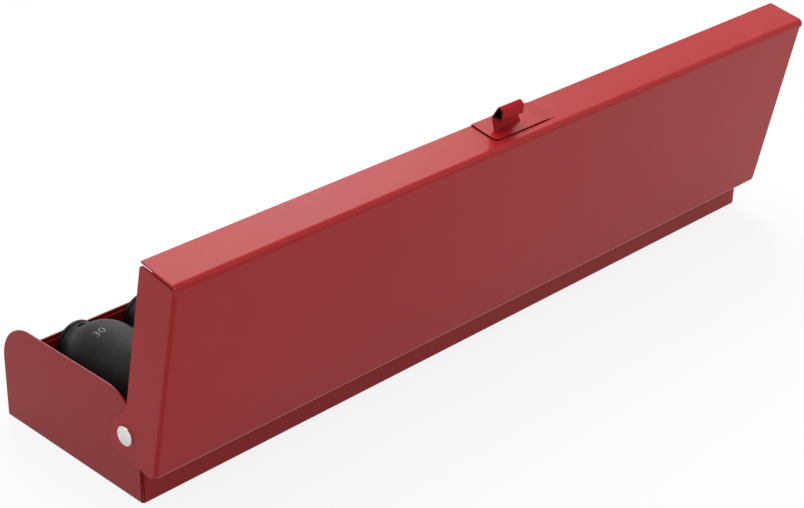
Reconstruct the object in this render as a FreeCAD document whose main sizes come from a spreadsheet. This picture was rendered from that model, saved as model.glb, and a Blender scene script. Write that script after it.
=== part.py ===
import FreeCAD, Part
import math
import os
import Sketcher

# Long sheet-metal case with a hinged lid, holding a row of deep impact sockets on square pegs.
# X runs along the case, +Y towards the hinge side, Z up; the tray's underside lies on Z = 0.

doc = FreeCAD.newDocument("SocketCase")

# ---- driving sizes, millimetres and degrees ------------------------------------------------

SIZES = {
    "sheet": 1.0,
    "bendOuter": 1.5,
    "trayLength": 500.0,
    "trayWidth": 116.4,
    "wallHeight": 36.7,
    "endHeight": 61.0,
    "hingeInset": 9.2,
    "hingeZ": 38.2,
    "openAngle": 100.7,
    "lidEndGap": 0.4,
    "lidTopGap": 0.4,
    "lidBend": 2.2,
    "lidFold": 3.2,
    "lidHeel": 5.5,
    "seamGap": 1.5,
    "lidFrontEdge": 37.0,
    "lidOverhang": 4.5,
    "lidEndEdge": 36.4,
    "slitWidth": 0.3,
    "stopGap": 0.08,
    "earLow": 11.2,
    "tongueRoot": -22.0,
    "tongueEnd": 26.0,
    "tongueTop": 55.5,
    "tongueCorner": 3.2,
    "tongueRamp": 10.0,
    "tongueRise": 0.6,
    "pullLeft": -0.9,
    "pullRidge": 2.9,
    "pullRight": 19.8,
    "pullBase": 48.5,
    "pullKnee": 7.8,
    "pullDrop": 3.9,
    "pullReach": 15.7,
    "pullHalf": 3.2,
    "pullLip": 8.5,
    "noseLeft": 0.8,
    "noseRight": 5.6,
    "noseReach": 2.7,
    "catchWidth": 16.0,
    "catchTop": 53.5,
    "catchFoot": 20.0,
    "catchJoggle": 38.0,
    "catchSet": 0.6,
    "rivetShank": 5.8,
    "rivetHead": 11.0,
    "rivetRise": 2.2,
    "rivetEdge": 1.5,
    "clinchHead": 8.6,
    "fitGap": 0.05,
    "washerSize": 12.0,
    "stripLow": 16.0,
    "stripHigh": 34.4,
    "stripLength": 450.0,
    "pegSquare": 12.4,
    "pegReach": 12.0,
    "pegSpigot": 6.0,
    "socketAxis": 28.2,
    "socketPitch": 45.4,
    "socketLength": 78.0,
    "socketWall": 4.7,
    "largestSocket": 30.0,
    "driveSquare": 12.75,
    "driveDepth": 21.0,
    "driveGap": 0.2,
    "driveNeck": 13.1,
    "driveRim": 12.8,
    "rimEdge": 0.5,
    "rimWidth": 2.2,
    "grooveStart": 2.5,
    "grooveDeep": 0.8,
    "grooveEnd": 3.6,
    "neckStart": 4.0,
    "neckEnd": 6.8,
    "neckRound": 8.0,
    "flareEnd": 20.5,
    "flareRound": 26.0,
    "mouthEdge": 0.6,
    "mouthLead": 1.6,
    "boreStep": 0.8,
    "holeSetback": 8.7,
    "crossHole": 5.5,
    "hexDepth": 30.0,
    "railHeight": 21.0,
    "railFoot": 14.0,
    "cradleGap": 0.3,
}
SOCKET_COUNT = 10

sheetBook = doc.addObject("Spreadsheet::Sheet", "Sizes")
for row, (alias, value) in enumerate(SIZES.items(), start=1):
    sheetBook.set(f"A{row}", alias)
    sheetBook.set(f"B{row}", str(value))
    sheetBook.setAlias(f"B{row}", alias)
doc.recompute()

# ---- helpers -------------------------------------------------------------------------------


def named(expression):
    """Put the sheet's name before every alias of an expression."""
    words = []
    word = ""
    for letter in str(expression) + " ":
        if letter.isalnum() or letter == "_":
            word += letter
            continue
        words.append(f"Sizes.{word}" if word in SIZES else word)
        words.append(letter)
        word = ""
    return "".join(words).strip()


def valueOf(expression):
    """Number that an expression of aliases comes to."""
    return float(sheetBook.evalExpression(str(expression)))


def newBody(label):
    body = doc.addObject("PartDesign::Body", label)
    body.Label = label
    return body


def newSketch(body, plane, name, offset=None):
    """Sketch on one of the body's own planes; offset is a distance along the plane's normal."""
    sketch = body.newObject("Sketcher::SketchObject", name)
    origin = [item for item in body.Origin.OriginFeatures if item.Role == plane][0]
    sketch.AttachmentSupport = [(origin, "")]
    sketch.MapMode = "FlatFace"
    if offset is not None:
        sketch.setExpression("AttachmentOffset.Base.z", named(offset))
    return sketch


def pin(sketch, kind, geometry, point, expression):
    """Hold one coordinate of a point at a size of the sheet."""
    index = sketch.addConstraint(
        Sketcher.Constraint(kind, -1, 1, geometry, point, valueOf(expression)))
    sketch.setExpression(f"Constraints[{index}]", named(expression))


def addOutline(sketch, corners):
    """Closed outline through corners (x, y) or (x, y, radius); a radius rounds that corner."""
    points = [FreeCAD.Vector(valueOf(c[0]), valueOf(c[1]), 0) for c in corners]
    radii = [valueOf(c[2]) if len(c) > 2 else 0.0 for c in corners]
    count = len(corners)
    entries = []
    exits = []
    for i, point in enumerate(points):
        before = (points[i - 1] - point).normalize()
        after = (points[(i + 1) % count] - point).normalize()
        half = before.getAngle(after) / 2
        reach = radii[i] / math.tan(half) if radii[i] else 0.0
        entries.append(point + before * reach)
        exits.append(point + after * reach)
    lines = []
    for i in range(count):
        segment = Part.LineSegment(exits[i], entries[(i + 1) % count])
        lines.append(sketch.addGeometry(segment, False))
    for i, corner in enumerate(corners):
        previous, following = lines[i - 1], lines[i]
        if not radii[i]:
            sketch.addConstraint(Sketcher.Constraint("Coincident", previous, 2, following, 1))
            pin(sketch, "DistanceX", following, 1, corner[0])
            pin(sketch, "DistanceY", following, 1, corner[1])
            continue
        before = (entries[i] - points[i]).normalize()
        after = (exits[i] - points[i]).normalize()
        half = before.getAngle(after) / 2
        centre = points[i] + (before + after).normalize() * (radii[i] / math.sin(half))
        convex = before.cross(after).z < 0
        first, last = (1, 2) if convex else (2, 1)
        begin, finish = (entries[i], exits[i]) if convex else (exits[i], entries[i])
        angles = [math.atan2(end.y - centre.y, end.x - centre.x) for end in (begin, finish)]
        if angles[1] < angles[0]:
            angles[1] += 2 * math.pi
        circle = Part.Circle(centre, FreeCAD.Vector(0, 0, 1), radii[i])
        arc = sketch.addGeometry(Part.ArcOfCircle(circle, *angles), False)
        vertex = sketch.addGeometry(Part.Point(points[i]), True)
        pin(sketch, "DistanceX", vertex, 1, corner[0])
        pin(sketch, "DistanceY", vertex, 1, corner[1])
        sketch.addConstraint(Sketcher.Constraint("PointOnObject", vertex, 1, previous))
        sketch.addConstraint(Sketcher.Constraint("PointOnObject", vertex, 1, following))
        sketch.addConstraint(Sketcher.Constraint("Tangent", previous, 2, arc, first))
        sketch.addConstraint(Sketcher.Constraint("Tangent", arc, last, following, 1))
        index = sketch.addConstraint(Sketcher.Constraint("Radius", arc, radii[i]))
        sketch.setExpression(f"Constraints[{index}]", named(corner[2]))


def outlineSketch(body, plane, name, corners, offset=None):
    sketch = newSketch(body, plane, name, offset)
    addOutline(sketch, corners)
    return sketch


def addCircle(sketch, x, y, radius):
    circle = Part.Circle(FreeCAD.Vector(valueOf(x), valueOf(y), 0),
                         FreeCAD.Vector(0, 0, 1), valueOf(radius))
    geometry = sketch.addGeometry(circle, False)
    pin(sketch, "DistanceX", geometry, 3, x)
    pin(sketch, "DistanceY", geometry, 3, y)
    index = sketch.addConstraint(Sketcher.Constraint("Radius", geometry, valueOf(radius)))
    sketch.setExpression(f"Constraints[{index}]", named(radius))


def circleSketch(body, plane, name, circles, offset=None):
    sketch = newSketch(body, plane, name, offset)
    for x, y, radius in circles:
        addCircle(sketch, x, y, radius)
    return sketch


def rectangle(x1, y1, x2, y2):
    return [(x1, y1), (x2, y1), (x2, y2), (x1, y2)]


def extrude(body, kind, name, sketch, length=None, symmetric=False, back=False):
    """Pad or Pocket of a sketch; without a length it goes through everything, both ways."""
    feature = body.newObject(f"PartDesign::{kind}", name)
    feature.Profile = sketch
    if length is None:
        feature.Type = "ThroughAll"
        feature.SideType = "Symmetric"
    else:
        feature.Type = "Length"
        feature.SideType = "Symmetric" if symmetric else "One side"
        feature.setExpression("Length", named(length))
    feature.Reversed = back
    sketch.Visibility = False
    doc.recompute()
    return feature


def revolve(body, name, sketch, axis):
    feature = body.newObject("PartDesign::Revolution", name)
    feature.Profile = sketch
    feature.ReferenceAxis = (sketch, [axis])
    feature.Angle = 360
    sketch.Visibility = False
    doc.recompute()
    return feature


def roundEdges(body, name, radius, picked):
    """Fillet the edges of the tip whose middle passes the test."""
    tip = body.Tip
    names = []
    for index, edge in enumerate(tip.Shape.Edges, start=1):
        middle = edge.valueAt((edge.FirstParameter + edge.LastParameter) / 2)
        if picked(edge, middle):
            names.append(f"Edge{index}")
    feature = body.newObject("PartDesign::Fillet", name)
    feature.Base = (tip, names)
    feature.setExpression("Radius", named(radius))
    doc.recompute()
    return feature


def along(edge, axis):
    """Whether a straight edge runs along the axis 0, 1 or 2."""
    if edge.Curve.TypeId != "Part::GeomLine":
        return False
    return abs(abs(edge.Curve.Direction[axis]) - 1) < 1e-6


def near(value, expression):
    return abs(value - valueOf(expression)) < 0.01


# ---- tray: one sheet, low long walls and high rounded end walls, corners left open ----------

front = "-trayWidth / 2"
hingeY = "(trayWidth / 2 - hingeInset)"
lidRear = "(trayWidth / 2 + lidOverhang)"

tray = newBody("tray")
endCorner = "endHeight - wallHeight"
side = "trayWidth / 2 - bendOuter"
extrude(tray, "Pad", "EndBlock", outlineSketch(tray, "YZ_Plane", "EndOutline", [
    (f"-({side})", "0"),
    (side, "0"),
    (side, "endHeight", endCorner),
    (f"-({side})", "endHeight", endCorner)]), "trayLength", symmetric=True)
roundEdges(tray, "EndBends", "bendOuter",
           lambda edge, middle: along(edge, 1) and abs(middle.z) < 0.01)
trayEnd = "trayLength / 2 - sheet"
extrude(tray, "Pocket", "Inside", outlineSketch(tray, "XZ_Plane", "InsideOutline", [
    (f"-({trayEnd})", "sheet", "bendOuter - sheet"),
    (trayEnd, "sheet", "bendOuter - sheet"),
    (trayEnd, "endHeight + 1"),
    (f"-({trayEnd})", "endHeight + 1")]))
extrude(tray, "Pad", "LongWalls", outlineSketch(tray, "YZ_Plane", "ChannelOutline", [
    (front, "0", "bendOuter"),
    ("trayWidth / 2", "0", "bendOuter"),
    ("trayWidth / 2", "wallHeight"),
    ("trayWidth / 2 - sheet", "wallHeight"),
    ("trayWidth / 2 - sheet", "sheet", "bendOuter - sheet"),
    (f"{front} + sheet", "sheet", "bendOuter - sheet"),
    (f"{front} + sheet", "wallHeight"),
    (front, "wallHeight")]), "trayLength - 2 * bendOuter", symmetric=True)
extrude(tray, "Pocket", "HingeHoles", circleSketch(tray, "YZ_Plane", "HingeHoleSketch", [
    (hingeY, "hingeZ", "rivetShank / 2")]))

# ---- lid: modelled shut, then turned open about the hinge -----------------------------------

lidTop = "endHeight + lidTopGap + sheet"
lidEnd = "trayLength / 2 + lidEndGap + sheet"
lidSpan = f"{lidEnd} - lidBend"
lipTip = (f"hingeZ + (trayWidth / 2 + stopGap - {hingeY} - ({lidRear} - {hingeY}) * "
          "cos(openAngle)) / sin(openAngle)")

lid = newBody("lid")
endFront = f"({front} + sheet + seamGap)"
extrude(lid, "Pad", "EndBlock", outlineSketch(lid, "YZ_Plane", "EndOutline", [
    (endFront, lidTop),
    (endFront, "lidEndEdge", "lidBend"),
    (f"{hingeY} - 15", "lidEndEdge", "11"),
    (f"{hingeY} - 4", "hingeZ - earLow", "5"),
    (f"{hingeY} + 7", "hingeZ - earLow", "8"),
    (lidRear, "hingeZ - earLow + 2.2", "1"),
    (lidRear, lidTop)]), f"2 * ({lidEnd})", symmetric=True)
roundEdges(lid, "EndBends", "lidBend",
           lambda edge, middle: along(edge, 1) and near(middle.z, lidTop))
lidInner = f"{lidEnd} - sheet"
extrude(lid, "Pocket", "Inside", outlineSketch(lid, "XZ_Plane", "InsideOutline", [
    (f"-({lidInner})", "0"),
    (lidInner, "0"),
    (lidInner, f"{lidTop} - sheet", "lidBend - sheet"),
    (f"-({lidInner})", f"{lidTop} - sheet", "lidBend - sheet")]))
extrude(lid, "Pocket", "EndHeels", outlineSketch(lid, "YZ_Plane", "EndHeelOutline", [
    (f"{lidRear} + 1", f"{lidTop} - lidHeel - 1"),
    (f"{lidRear} + 1", f"{lidTop} + 1"),
    (f"{lidRear} - lidHeel - 1", f"{lidTop} + 1"),
    (f"{lidRear} - lidHeel - 1", lidTop),
    (lidRear, lidTop, "lidHeel"),
    (lidRear, f"{lidTop} - lidHeel - 1")]))
relief = newSketch(lid, "XY_Plane", "BendRelief")
addOutline(relief, rectangle(f"-({lidSpan})", f"{front} - 1", lidSpan, f"{front} + lidFold"))
addOutline(relief, rectangle(f"-({lidSpan})", f"{lidRear} - lidFold", lidSpan, f"{lidRear} + 1"))
extrude(lid, "Pocket", "BendRelief", relief)
extrude(lid, "Pad", "LongFlanges", outlineSketch(lid, "YZ_Plane", "FlangeOutline", [
    (front, "lidFrontEdge"),
    (f"{front} + sheet", "lidFrontEdge"),
    (f"{front} + sheet", f"{lidTop} - sheet", "lidFold - sheet"),
    (f"{lidRear} - sheet", f"{lidTop} - sheet", "lidFold - sheet"),
    (f"{lidRear} - sheet", lipTip),
    (lidRear, lipTip),
    (lidRear, lidTop, "lidFold"),
    (front, lidTop, "lidFold")]), f"2 * ({lidSpan})", symmetric=True)
extrude(lid, "Pad", "FrontFold", outlineSketch(lid, "YZ_Plane", "FrontFoldOutline", [
    (front, "lidFrontEdge"),
    (f"{front} + sheet", "lidFrontEdge"),
    (f"{front} + sheet", f"{lidTop} - sheet", "lidFold - sheet"),
    (f"{front} + lidFold + sheet", f"{lidTop} - sheet"),
    (f"{front} + lidFold + sheet", lidTop),
    (front, lidTop, "lidFold")]), f"2 * ({lidEnd})", symmetric=True)
extrude(lid, "Pocket", "EarHoles", circleSketch(lid, "YZ_Plane", "EarHoleSketch", [
    (hingeY, "hingeZ", "rivetShank / 2 + fitGap")]))
extrude(lid, "Pocket", "TongueSlit", outlineSketch(lid, "XZ_Plane", "SlitOutline", [
    ("tongueRoot", "lidFrontEdge - 1"),
    ("tongueEnd + slitWidth", "lidFrontEdge - 1"),
    ("tongueEnd + slitWidth", "tongueTop + slitWidth", "tongueCorner + slitWidth"),
    ("tongueRoot", "tongueTop + slitWidth", "slitWidth / 3")], f"-({front} + 3)"),
    "6", back=True)

# ---- latch tongue: a strip of the lid's front flange, free on three sides and set outward ----

tongue = newBody("latch_tongue")
tongueOut = f"({front} - tongueRise)"
extrude(tongue, "Pad", "Strip", outlineSketch(tongue, "XY_Plane", "StripOutline", [
    ("tongueRoot", front),
    ("tongueRoot + tongueRamp", tongueOut),
    ("tongueEnd", tongueOut),
    ("tongueEnd", f"{tongueOut} + sheet"),
    ("tongueRoot + tongueRamp", f"{tongueOut} + sheet"),
    ("tongueRoot", f"{front} + sheet")], "lidFrontEdge"), "tongueTop - lidFrontEdge")
roundEdges(tongue, "FreeCorner", "tongueCorner",
           lambda edge, middle: (along(edge, 1) and near(middle.x, "tongueEnd")
                                 and near(middle.z, "tongueTop")))
extrude(tongue, "Pocket", "NoseSlot", outlineSketch(
    tongue, "XZ_Plane", "NoseSlotOutline",
    rectangle("noseLeft", "pullBase - sheet / 2", "noseRight", "pullBase + sheet / 2")))

# ---- latch pull: a folded strip standing on the tongue, its nose passing through ------------

pull = newBody("latch_pull")
pullSpan = "pullRight - pullLeft"
extrude(pull, "Pad", "Curl", outlineSketch(pull, "YZ_Plane", "CurlOutline", [
    (tongueOut, "pullBase + sheet / 2"),
    (f"{front} - pullKnee", "pullBase - pullDrop + sheet", "0.7"),
    (f"{front} - pullReach + sheet", "pullBase - pullHalf + sheet", "pullHalf - sheet - 0.1"),
    (f"{front} - pullReach + sheet", "pullBase + pullHalf - sheet", "pullHalf - sheet - 0.1"),
    (f"{front} - pullLip", "pullBase + pullHalf - sheet"),
    (f"{front} - pullLip", "pullBase + pullHalf"),
    (f"{front} - pullReach", "pullBase + pullHalf", "pullHalf - 0.1"),
    (f"{front} - pullReach", "pullBase - pullHalf", "pullHalf - 0.1"),
    (f"{front} - pullKnee", "pullBase - pullDrop", "1.5"),
    (tongueOut, "pullBase - sheet / 2")], "pullLeft"), pullSpan)
extrude(pull, "Pocket", "RidgeEnd", outlineSketch(pull, "XY_Plane", "RidgeEndOutline", [
    ("pullLeft - 1", f"{front} - pullReach - 1"),
    ("pullRidge", f"{front} - pullReach - 1"),
    ("pullRidge", f"{front} - pullLip - sheet"),
    ("pullLeft", f"{front} - pullLip / 2"),
    ("pullLeft - 1", f"{front} - pullLip / 2")]))
extrude(pull, "Pad", "Nose", outlineSketch(
    pull, "YZ_Plane", "NoseOutline",
    rectangle(tongueOut, "pullBase - sheet / 2", f"{front} + sheet + noseReach",
              "pullBase + sheet / 2"), "noseLeft"), "noseRight - noseLeft")

for piece in (lid, tongue, pull):
    piece.setExpression("Placement", named(
        "placement(vector(0; 0; 0); rotation(vector(1; 0; 0); -openAngle); "
        f"vector(0; {hingeY}; hingeZ))"))
doc.recompute()

# ---- catch plate: stands behind the tongue, window for the nose -----------------------------

catch = newBody("catch_plate")
catchY = f"({front} + 2 * sheet)"
extrude(catch, "Pad", "Strip", outlineSketch(catch, "YZ_Plane", "CatchOutline", [
    (catchY, "catchFoot"),
    (f"{catchY} + sheet", "catchFoot"),
    (f"{catchY} + sheet", "catchJoggle", "sheet"),
    (f"{catchY} + sheet + catchSet", "catchJoggle + 2", "sheet"),
    (f"{catchY} + sheet + catchSet", "catchTop"),
    (f"{catchY} + catchSet", "catchTop"),
    (f"{catchY} + catchSet", "catchJoggle + 2", "sheet"),
    (catchY, "catchJoggle", "sheet")]), "catchWidth", symmetric=True)
extrude(catch, "Pocket", "Window", outlineSketch(catch, "XZ_Plane", "WindowOutline", rectangle(
    "noseLeft - 1.2", "pullBase - sheet / 2 - 1.4", "noseRight + 1.2",
    "pullBase + sheet / 2 + 1.4")))
roundEdges(catch, "TopCorners", "sheet * 3",
           lambda edge, middle: along(edge, 1) and near(middle.z, "catchTop"))

# ---- hinge rivets and their inner washers ---------------------------------------------------

wallOut = "trayLength / 2"
wallIn = "(trayLength / 2 - sheet)"
washerIn = "(trayLength / 2 - 2 * sheet)"
headSeat = f"({lidEnd} + fitGap)"
for label, turn in (("right", 0), ("left", 180)):
    rivet = newBody(f"hinge_rivet_{label}")
    revolve(rivet, "Turned", outlineSketch(rivet, "XY_Plane", "HalfProfile", [
        (f"{washerIn} - 1.6", "0"),
        (f"{washerIn} - 1.6", "clinchHead / 2", "1"),
        (washerIn, "clinchHead / 2"),
        (washerIn, "rivetShank / 2"),
        (headSeat, "rivetShank / 2"),
        (headSeat, "rivetHead / 2"),
        (f"{headSeat} + rivetEdge", "rivetHead / 2", "rivetEdge / 3"),
        (f"{headSeat} + rivetRise", "rivetHead / 3", "rivetHead / 2"),
        (f"{headSeat} + rivetRise", "0")]), "H_Axis")
    washer = newBody(f"hinge_washer_{label}")
    extrude(washer, "Pad", "Disc", circleSketch(washer, "YZ_Plane", "DiscOutline", [
        ("0", "0", "washerSize / 2"),
        ("0", "0", "rivetShank / 2 + fitGap")], washerIn), "sheet")
    for piece in (rivet, washer):
        piece.setExpression("Placement", named(
            f"placement(vector(0; {hingeY}; hingeZ); rotation(vector(0; 0; 1); {turn}))"))

# ---- peg strip and square pegs --------------------------------------------------------------

socketX = [f"socketPitch * ({(SOCKET_COUNT - 1) / 2 - i})" for i in range(SOCKET_COUNT)]

strip = newBody("peg_strip")
extrude(strip, "Pad", "Bar", outlineSketch(strip, "XZ_Plane", "BarOutline", rectangle(
    "-stripLength / 2", "stripLow", "stripLength / 2", "stripHigh"),
    f"-({front} + sheet)"), "sheet", back=True)
extrude(strip, "Pocket", "SpigotHoles", circleSketch(strip, "XZ_Plane", "SpigotHoleSketch", [
    (x, "socketAxis", "pegSpigot / 2") for x in socketX]))

pegFoot = f"({front} + 2 * sheet)"
pegs = []
for i, x in enumerate(socketX):
    peg = newBody(f"PegBody{i}")
    extrude(peg, "Pad", "Square", outlineSketch(peg, "XZ_Plane", "SquareOutline", [
        ("-pegSquare / 2", "-pegSquare / 2", "sheet"),
        ("pegSquare / 2", "-pegSquare / 2", "sheet"),
        ("pegSquare / 2", "pegSquare / 2", "sheet"),
        ("-pegSquare / 2", "pegSquare / 2", "sheet")]), "pegReach", back=True)
    extrude(peg, "Pad", "Spigot", circleSketch(peg, "XZ_Plane", "SpigotOutline", [
        ("0", "0", "pegSpigot / 2")]), "sheet")
    peg.setExpression("Placement", named(
        f"placement(vector({x}; {pegFoot}; socketAxis); rotation(vector(0; 0; 1); 0))"))
    pegs.append(peg)
pegGroup = doc.addObject("Part::Compound", "drive_pegs")
pegGroup.Label = "drive_pegs"
pegGroup.Links = pegs

# ---- cradle rail: folded sheet with a round seat for every socket ---------------------------

driveY = f"({front} + 2 * sheet + driveGap)"
railBack = f"({driveY} + socketLength)"
railY = f"({railBack} - railFoot)"
rail = newBody("cradle_rail")
extrude(rail, "Pad", "Angle", outlineSketch(rail, "YZ_Plane", "AngleOutline", [
    (railY, "sheet", "bendOuter"),
    (railBack, "sheet"),
    (railBack, "2 * sheet"),
    (f"{railY} + sheet", "2 * sheet", "bendOuter - sheet"),
    (f"{railY} + sheet", "railHeight"),
    (railY, "railHeight")]), "stripLength", symmetric=True)
seats = [(x, "socketAxis", f"(largestSocket - {i}) / sqrt(3) + socketWall + cradleGap")
         for i, x in enumerate(socketX)]
extrude(rail, "Pocket", "Seats", circleSketch(rail, "XZ_Plane", "SeatSketch", seats))

# ---- sockets: turned outside, square drive, six-sided mouth ---------------------------------

sockets = []
for i, x in enumerate(socketX):
    across = f"(largestSocket - {i})"
    body = newBody(f"socket_{round(valueOf('largestSocket')) - i}mm")
    bodyRadius = f"({across} / sqrt(3) + socketWall)"
    bore = f"({across} / 2 - boreStep)"
    revolve(body, "Turned", outlineSketch(body, "XY_Plane", "HalfProfile", [
        ("0", "0"),
        ("driveRim - rimEdge", "0"),
        ("driveRim", "rimEdge"),
        ("driveRim", "rimWidth"),
        ("driveRim - grooveDeep", "grooveStart"),
        ("driveRim - grooveDeep", "grooveEnd"),
        ("driveNeck", "neckStart"),
        ("driveNeck", "neckEnd", "neckRound"),
        (bodyRadius, "flareEnd", "flareRound"),
        (bodyRadius, "socketLength - mouthEdge"),
        (f"{bodyRadius} - mouthEdge", "socketLength"),
        (f"{across} / sqrt(3)", "socketLength"),
        (f"{across} / 2", "socketLength - mouthLead"),
        (f"{across} / 2", "socketLength - hexDepth"),
        (bore, "socketLength - hexDepth - boreStep"),
        (bore, "driveDepth - sheet"),
        ("0", "driveDepth - sheet")]), "V_Axis")
    extrude(body, "Pocket", "SquareDrive", outlineSketch(
        body, "XZ_Plane", "DriveOutline",
        rectangle("-driveSquare / 2", "-driveSquare / 2", "driveSquare / 2",
                  "driveSquare / 2")), "driveDepth")
    hexagon = []
    for k in range(6):
        hexagon.append((f"{across} / sqrt(3) * cos({60 * k})",
                        f"{across} / sqrt(3) * sin({60 * k})"))
    extrude(body, "Pocket", "HexMouth", outlineSketch(
        body, "XZ_Plane", "HexOutline", hexagon, "-socketLength"), "hexDepth", back=True)
    extrude(body, "Pocket", "CrossHole", circleSketch(body, "XY_Plane", "CrossHoleSketch", [
        ("0", "holeSetback", "crossHole / 2")]))
    body.setExpression("Placement", named(
        f"placement(vector({x}; {driveY}; socketAxis); "
        "rotation(vector(0; 0; 1); 0))"))
    sockets.append(body)

doc.recompute()

# ---- check and write ------------------------------------------------------------------------

for item in doc.Objects:
    if "Invalid" in item.State or "Error" in item.State:
        raise RuntimeError(f"{item.Name} of {item.Label}: {item.State}")

os.makedirs("parts", exist_ok=True)
exported = [item for item in doc.Objects
            if item.TypeId in ("PartDesign::Body", "Part::Compound") and item not in pegs]
for item in exported:
    shape = item.Shape
    if shape.isNull() or not shape.isValid():
        raise RuntimeError(f"{item.Label} has no sound shape")
    shape.exportStep(f"parts/{item.Label}.step")
    print(item.Label, len(shape.Solids), round(shape.Volume, 2), shape.BoundBox)
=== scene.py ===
import math
import bmesh
import bpy
import numpy as np
from mathutils import Matrix, Vector


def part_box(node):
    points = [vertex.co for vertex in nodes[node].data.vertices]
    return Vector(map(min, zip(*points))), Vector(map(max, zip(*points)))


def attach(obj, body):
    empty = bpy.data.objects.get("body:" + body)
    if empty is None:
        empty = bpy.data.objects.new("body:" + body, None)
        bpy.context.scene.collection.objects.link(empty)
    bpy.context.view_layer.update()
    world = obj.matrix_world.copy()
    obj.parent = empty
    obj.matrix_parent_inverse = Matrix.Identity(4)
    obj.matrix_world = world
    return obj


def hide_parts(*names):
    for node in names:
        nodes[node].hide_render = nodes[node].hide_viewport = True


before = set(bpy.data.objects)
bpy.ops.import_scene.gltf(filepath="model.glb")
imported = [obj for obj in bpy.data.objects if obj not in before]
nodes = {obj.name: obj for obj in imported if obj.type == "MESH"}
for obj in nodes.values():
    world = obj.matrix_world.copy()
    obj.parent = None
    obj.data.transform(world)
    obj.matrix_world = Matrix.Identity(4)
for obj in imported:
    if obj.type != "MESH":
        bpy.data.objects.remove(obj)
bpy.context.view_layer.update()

scene = bpy.context.scene

# camera: behind the hinge side, off the end with the largest socket

cameraLook = {
    "place": (0.732751, 0.700790, 0.569016),
    "right": (-0.702673, 0.711187, 0.021540),
    "up": (-0.320908, -0.343796, 0.882509),
    "lens": 86.2503,
    "sensor": 36.0,
    "clip": (0.05, 50.0),
}


# place and axes as given, made square to each other: back = right x up, up = back x right
def makeCamera(look):
    right = Vector(look["right"]).normalized()
    back = right.cross(Vector(look["up"])).normalized()
    up = back.cross(right)
    data = bpy.data.cameras.new("caseCamera")
    data.lens = look["lens"]
    data.sensor_width = look["sensor"]
    data.sensor_fit = "HORIZONTAL"
    data.clip_start, data.clip_end = look["clip"]
    camera = bpy.data.objects.new("caseCamera", data)
    turn = Matrix((right, up, back)).transposed().to_4x4()
    camera.matrix_world = Matrix.Translation(look["place"]) @ turn
    scene.collection.objects.link(camera)
    scene.camera = camera


makeCamera(cameraLook)
print("camera ready")

# node helpers


# new node with its properties set
def add(tree, kind, **settings):
    node = tree.nodes.new(kind)
    for name, value in settings.items():
        setattr(node, name, value)
    return node


# link from one socket to another
def wire(tree, source, target):
    tree.links.new(source, target)


# a and b are sockets or numbers; gives the result's socket
def math2(tree, operation, a, b):
    node = add(tree, "ShaderNodeMath", operation=operation)
    for slot, value in enumerate((a, b)):
        if isinstance(value, (int, float)):
            node.inputs[slot].default_value = value
        else:
            wire(tree, value, node.inputs[slot])
    return node.outputs[0]


# a (1 - factor) + b factor; inputs 0, 6 and 7 and output 2 are the ones for colours
def mixColour(tree, factor, a, b):
    node = add(tree, "ShaderNodeMix", data_type="RGBA")
    for slot, value in ((0, factor), (6, a), (7, b)):
        if isinstance(value, (int, float)):
            node.inputs[slot].default_value = value
        elif isinstance(value, tuple):
            node.inputs[slot].default_value = (*value, 1.0)
        else:
            wire(tree, value, node.inputs[slot])
    return node.outputs[2]


# value from low..high to toLow..toHigh, held inside them
def spread(tree, value, low, high, toLow=0.0, toHigh=1.0, smooth=False):
    node = add(tree, "ShaderNodeMapRange", clamp=True)
    node.interpolation_type = "SMOOTHSTEP" if smooth else "LINEAR"
    wire(tree, value, node.inputs["Value"])
    for name, number in (("From Min", low), ("From Max", high),
                         ("To Min", toLow), ("To Max", toHigh)):
        node.inputs[name].default_value = number
    return node.outputs["Result"]


# noise value at vector, which may be stretched first; scale is a number or a socket
def noise(tree, vector, scale, detail=2.0, roughness=0.5, stretch=None):
    if stretch:
        mapping = add(tree, "ShaderNodeMapping")
        mapping.inputs["Scale"].default_value = stretch
        wire(tree, vector, mapping.inputs["Vector"])
        vector = mapping.outputs["Vector"]
    node = add(tree, "ShaderNodeTexNoise")
    node.inputs["Detail"].default_value = detail
    node.inputs["Roughness"].default_value = roughness
    if isinstance(scale, (int, float)):
        node.inputs["Scale"].default_value = scale
    else:
        wire(tree, scale, node.inputs["Scale"])
    wire(tree, vector, node.inputs["Vector"])
    return node.outputs["Fac"]


# studio: pale floor, white surroundings, three soft lamps

studio = {
    "floorSize": 8.0,
    "floorColour": (0.98, 0.98, 0.98),
    "floorBounce": (0.72, 0.72, 0.72),  # the floor's colour for all other rays
    "floorFade": (0.27, 0.60),  # the shadows fade out between these radii
    "shadowShare": 0.14,
    "worldLevel": (0.18, 0.66),  # at the horizon and overhead
    "lamps": {
        "softBox": {"place": (-0.90, -1.10, 1.42), "aim": (0, 0.05, 0.08),
                    "size": 1.25, "power": 16.0},
        "topBox": {"place": (0.20, -0.35, 2.00), "aim": (0, 0.0, 0.08),
                   "size": 1.6, "power": 12.5},
        "sideBox": {"place": (-1.3, 1.5, 0.9), "aim": (-0.2, 0.05, 0.08),
                    "size": 1.6, "power": 5.0},
    },
}


# 1 for what the camera sees straight, and for what it sees in gloss or through glass
def seenRays(tree):
    path = add(tree, "ShaderNodeLightPath")
    shiny = math2(tree, "MAXIMUM", path.outputs["Is Glossy Ray"],
                  path.outputs["Is Transmission Ray"])
    return math2(tree, "MAXIMUM", path.outputs["Is Camera Ray"], shiny)


# mixes two shaders by a mask and puts the result on the surface
def mixToSurface(tree, output, mask, first, second):
    mix = add(tree, "ShaderNodeMixShader")
    wire(tree, mask, mix.inputs["Fac"])
    wire(tree, first.outputs[0], mix.inputs[1])
    wire(tree, second.outputs[0], mix.inputs[2])
    wire(tree, mix.outputs[0], output.inputs["Surface"])


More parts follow.
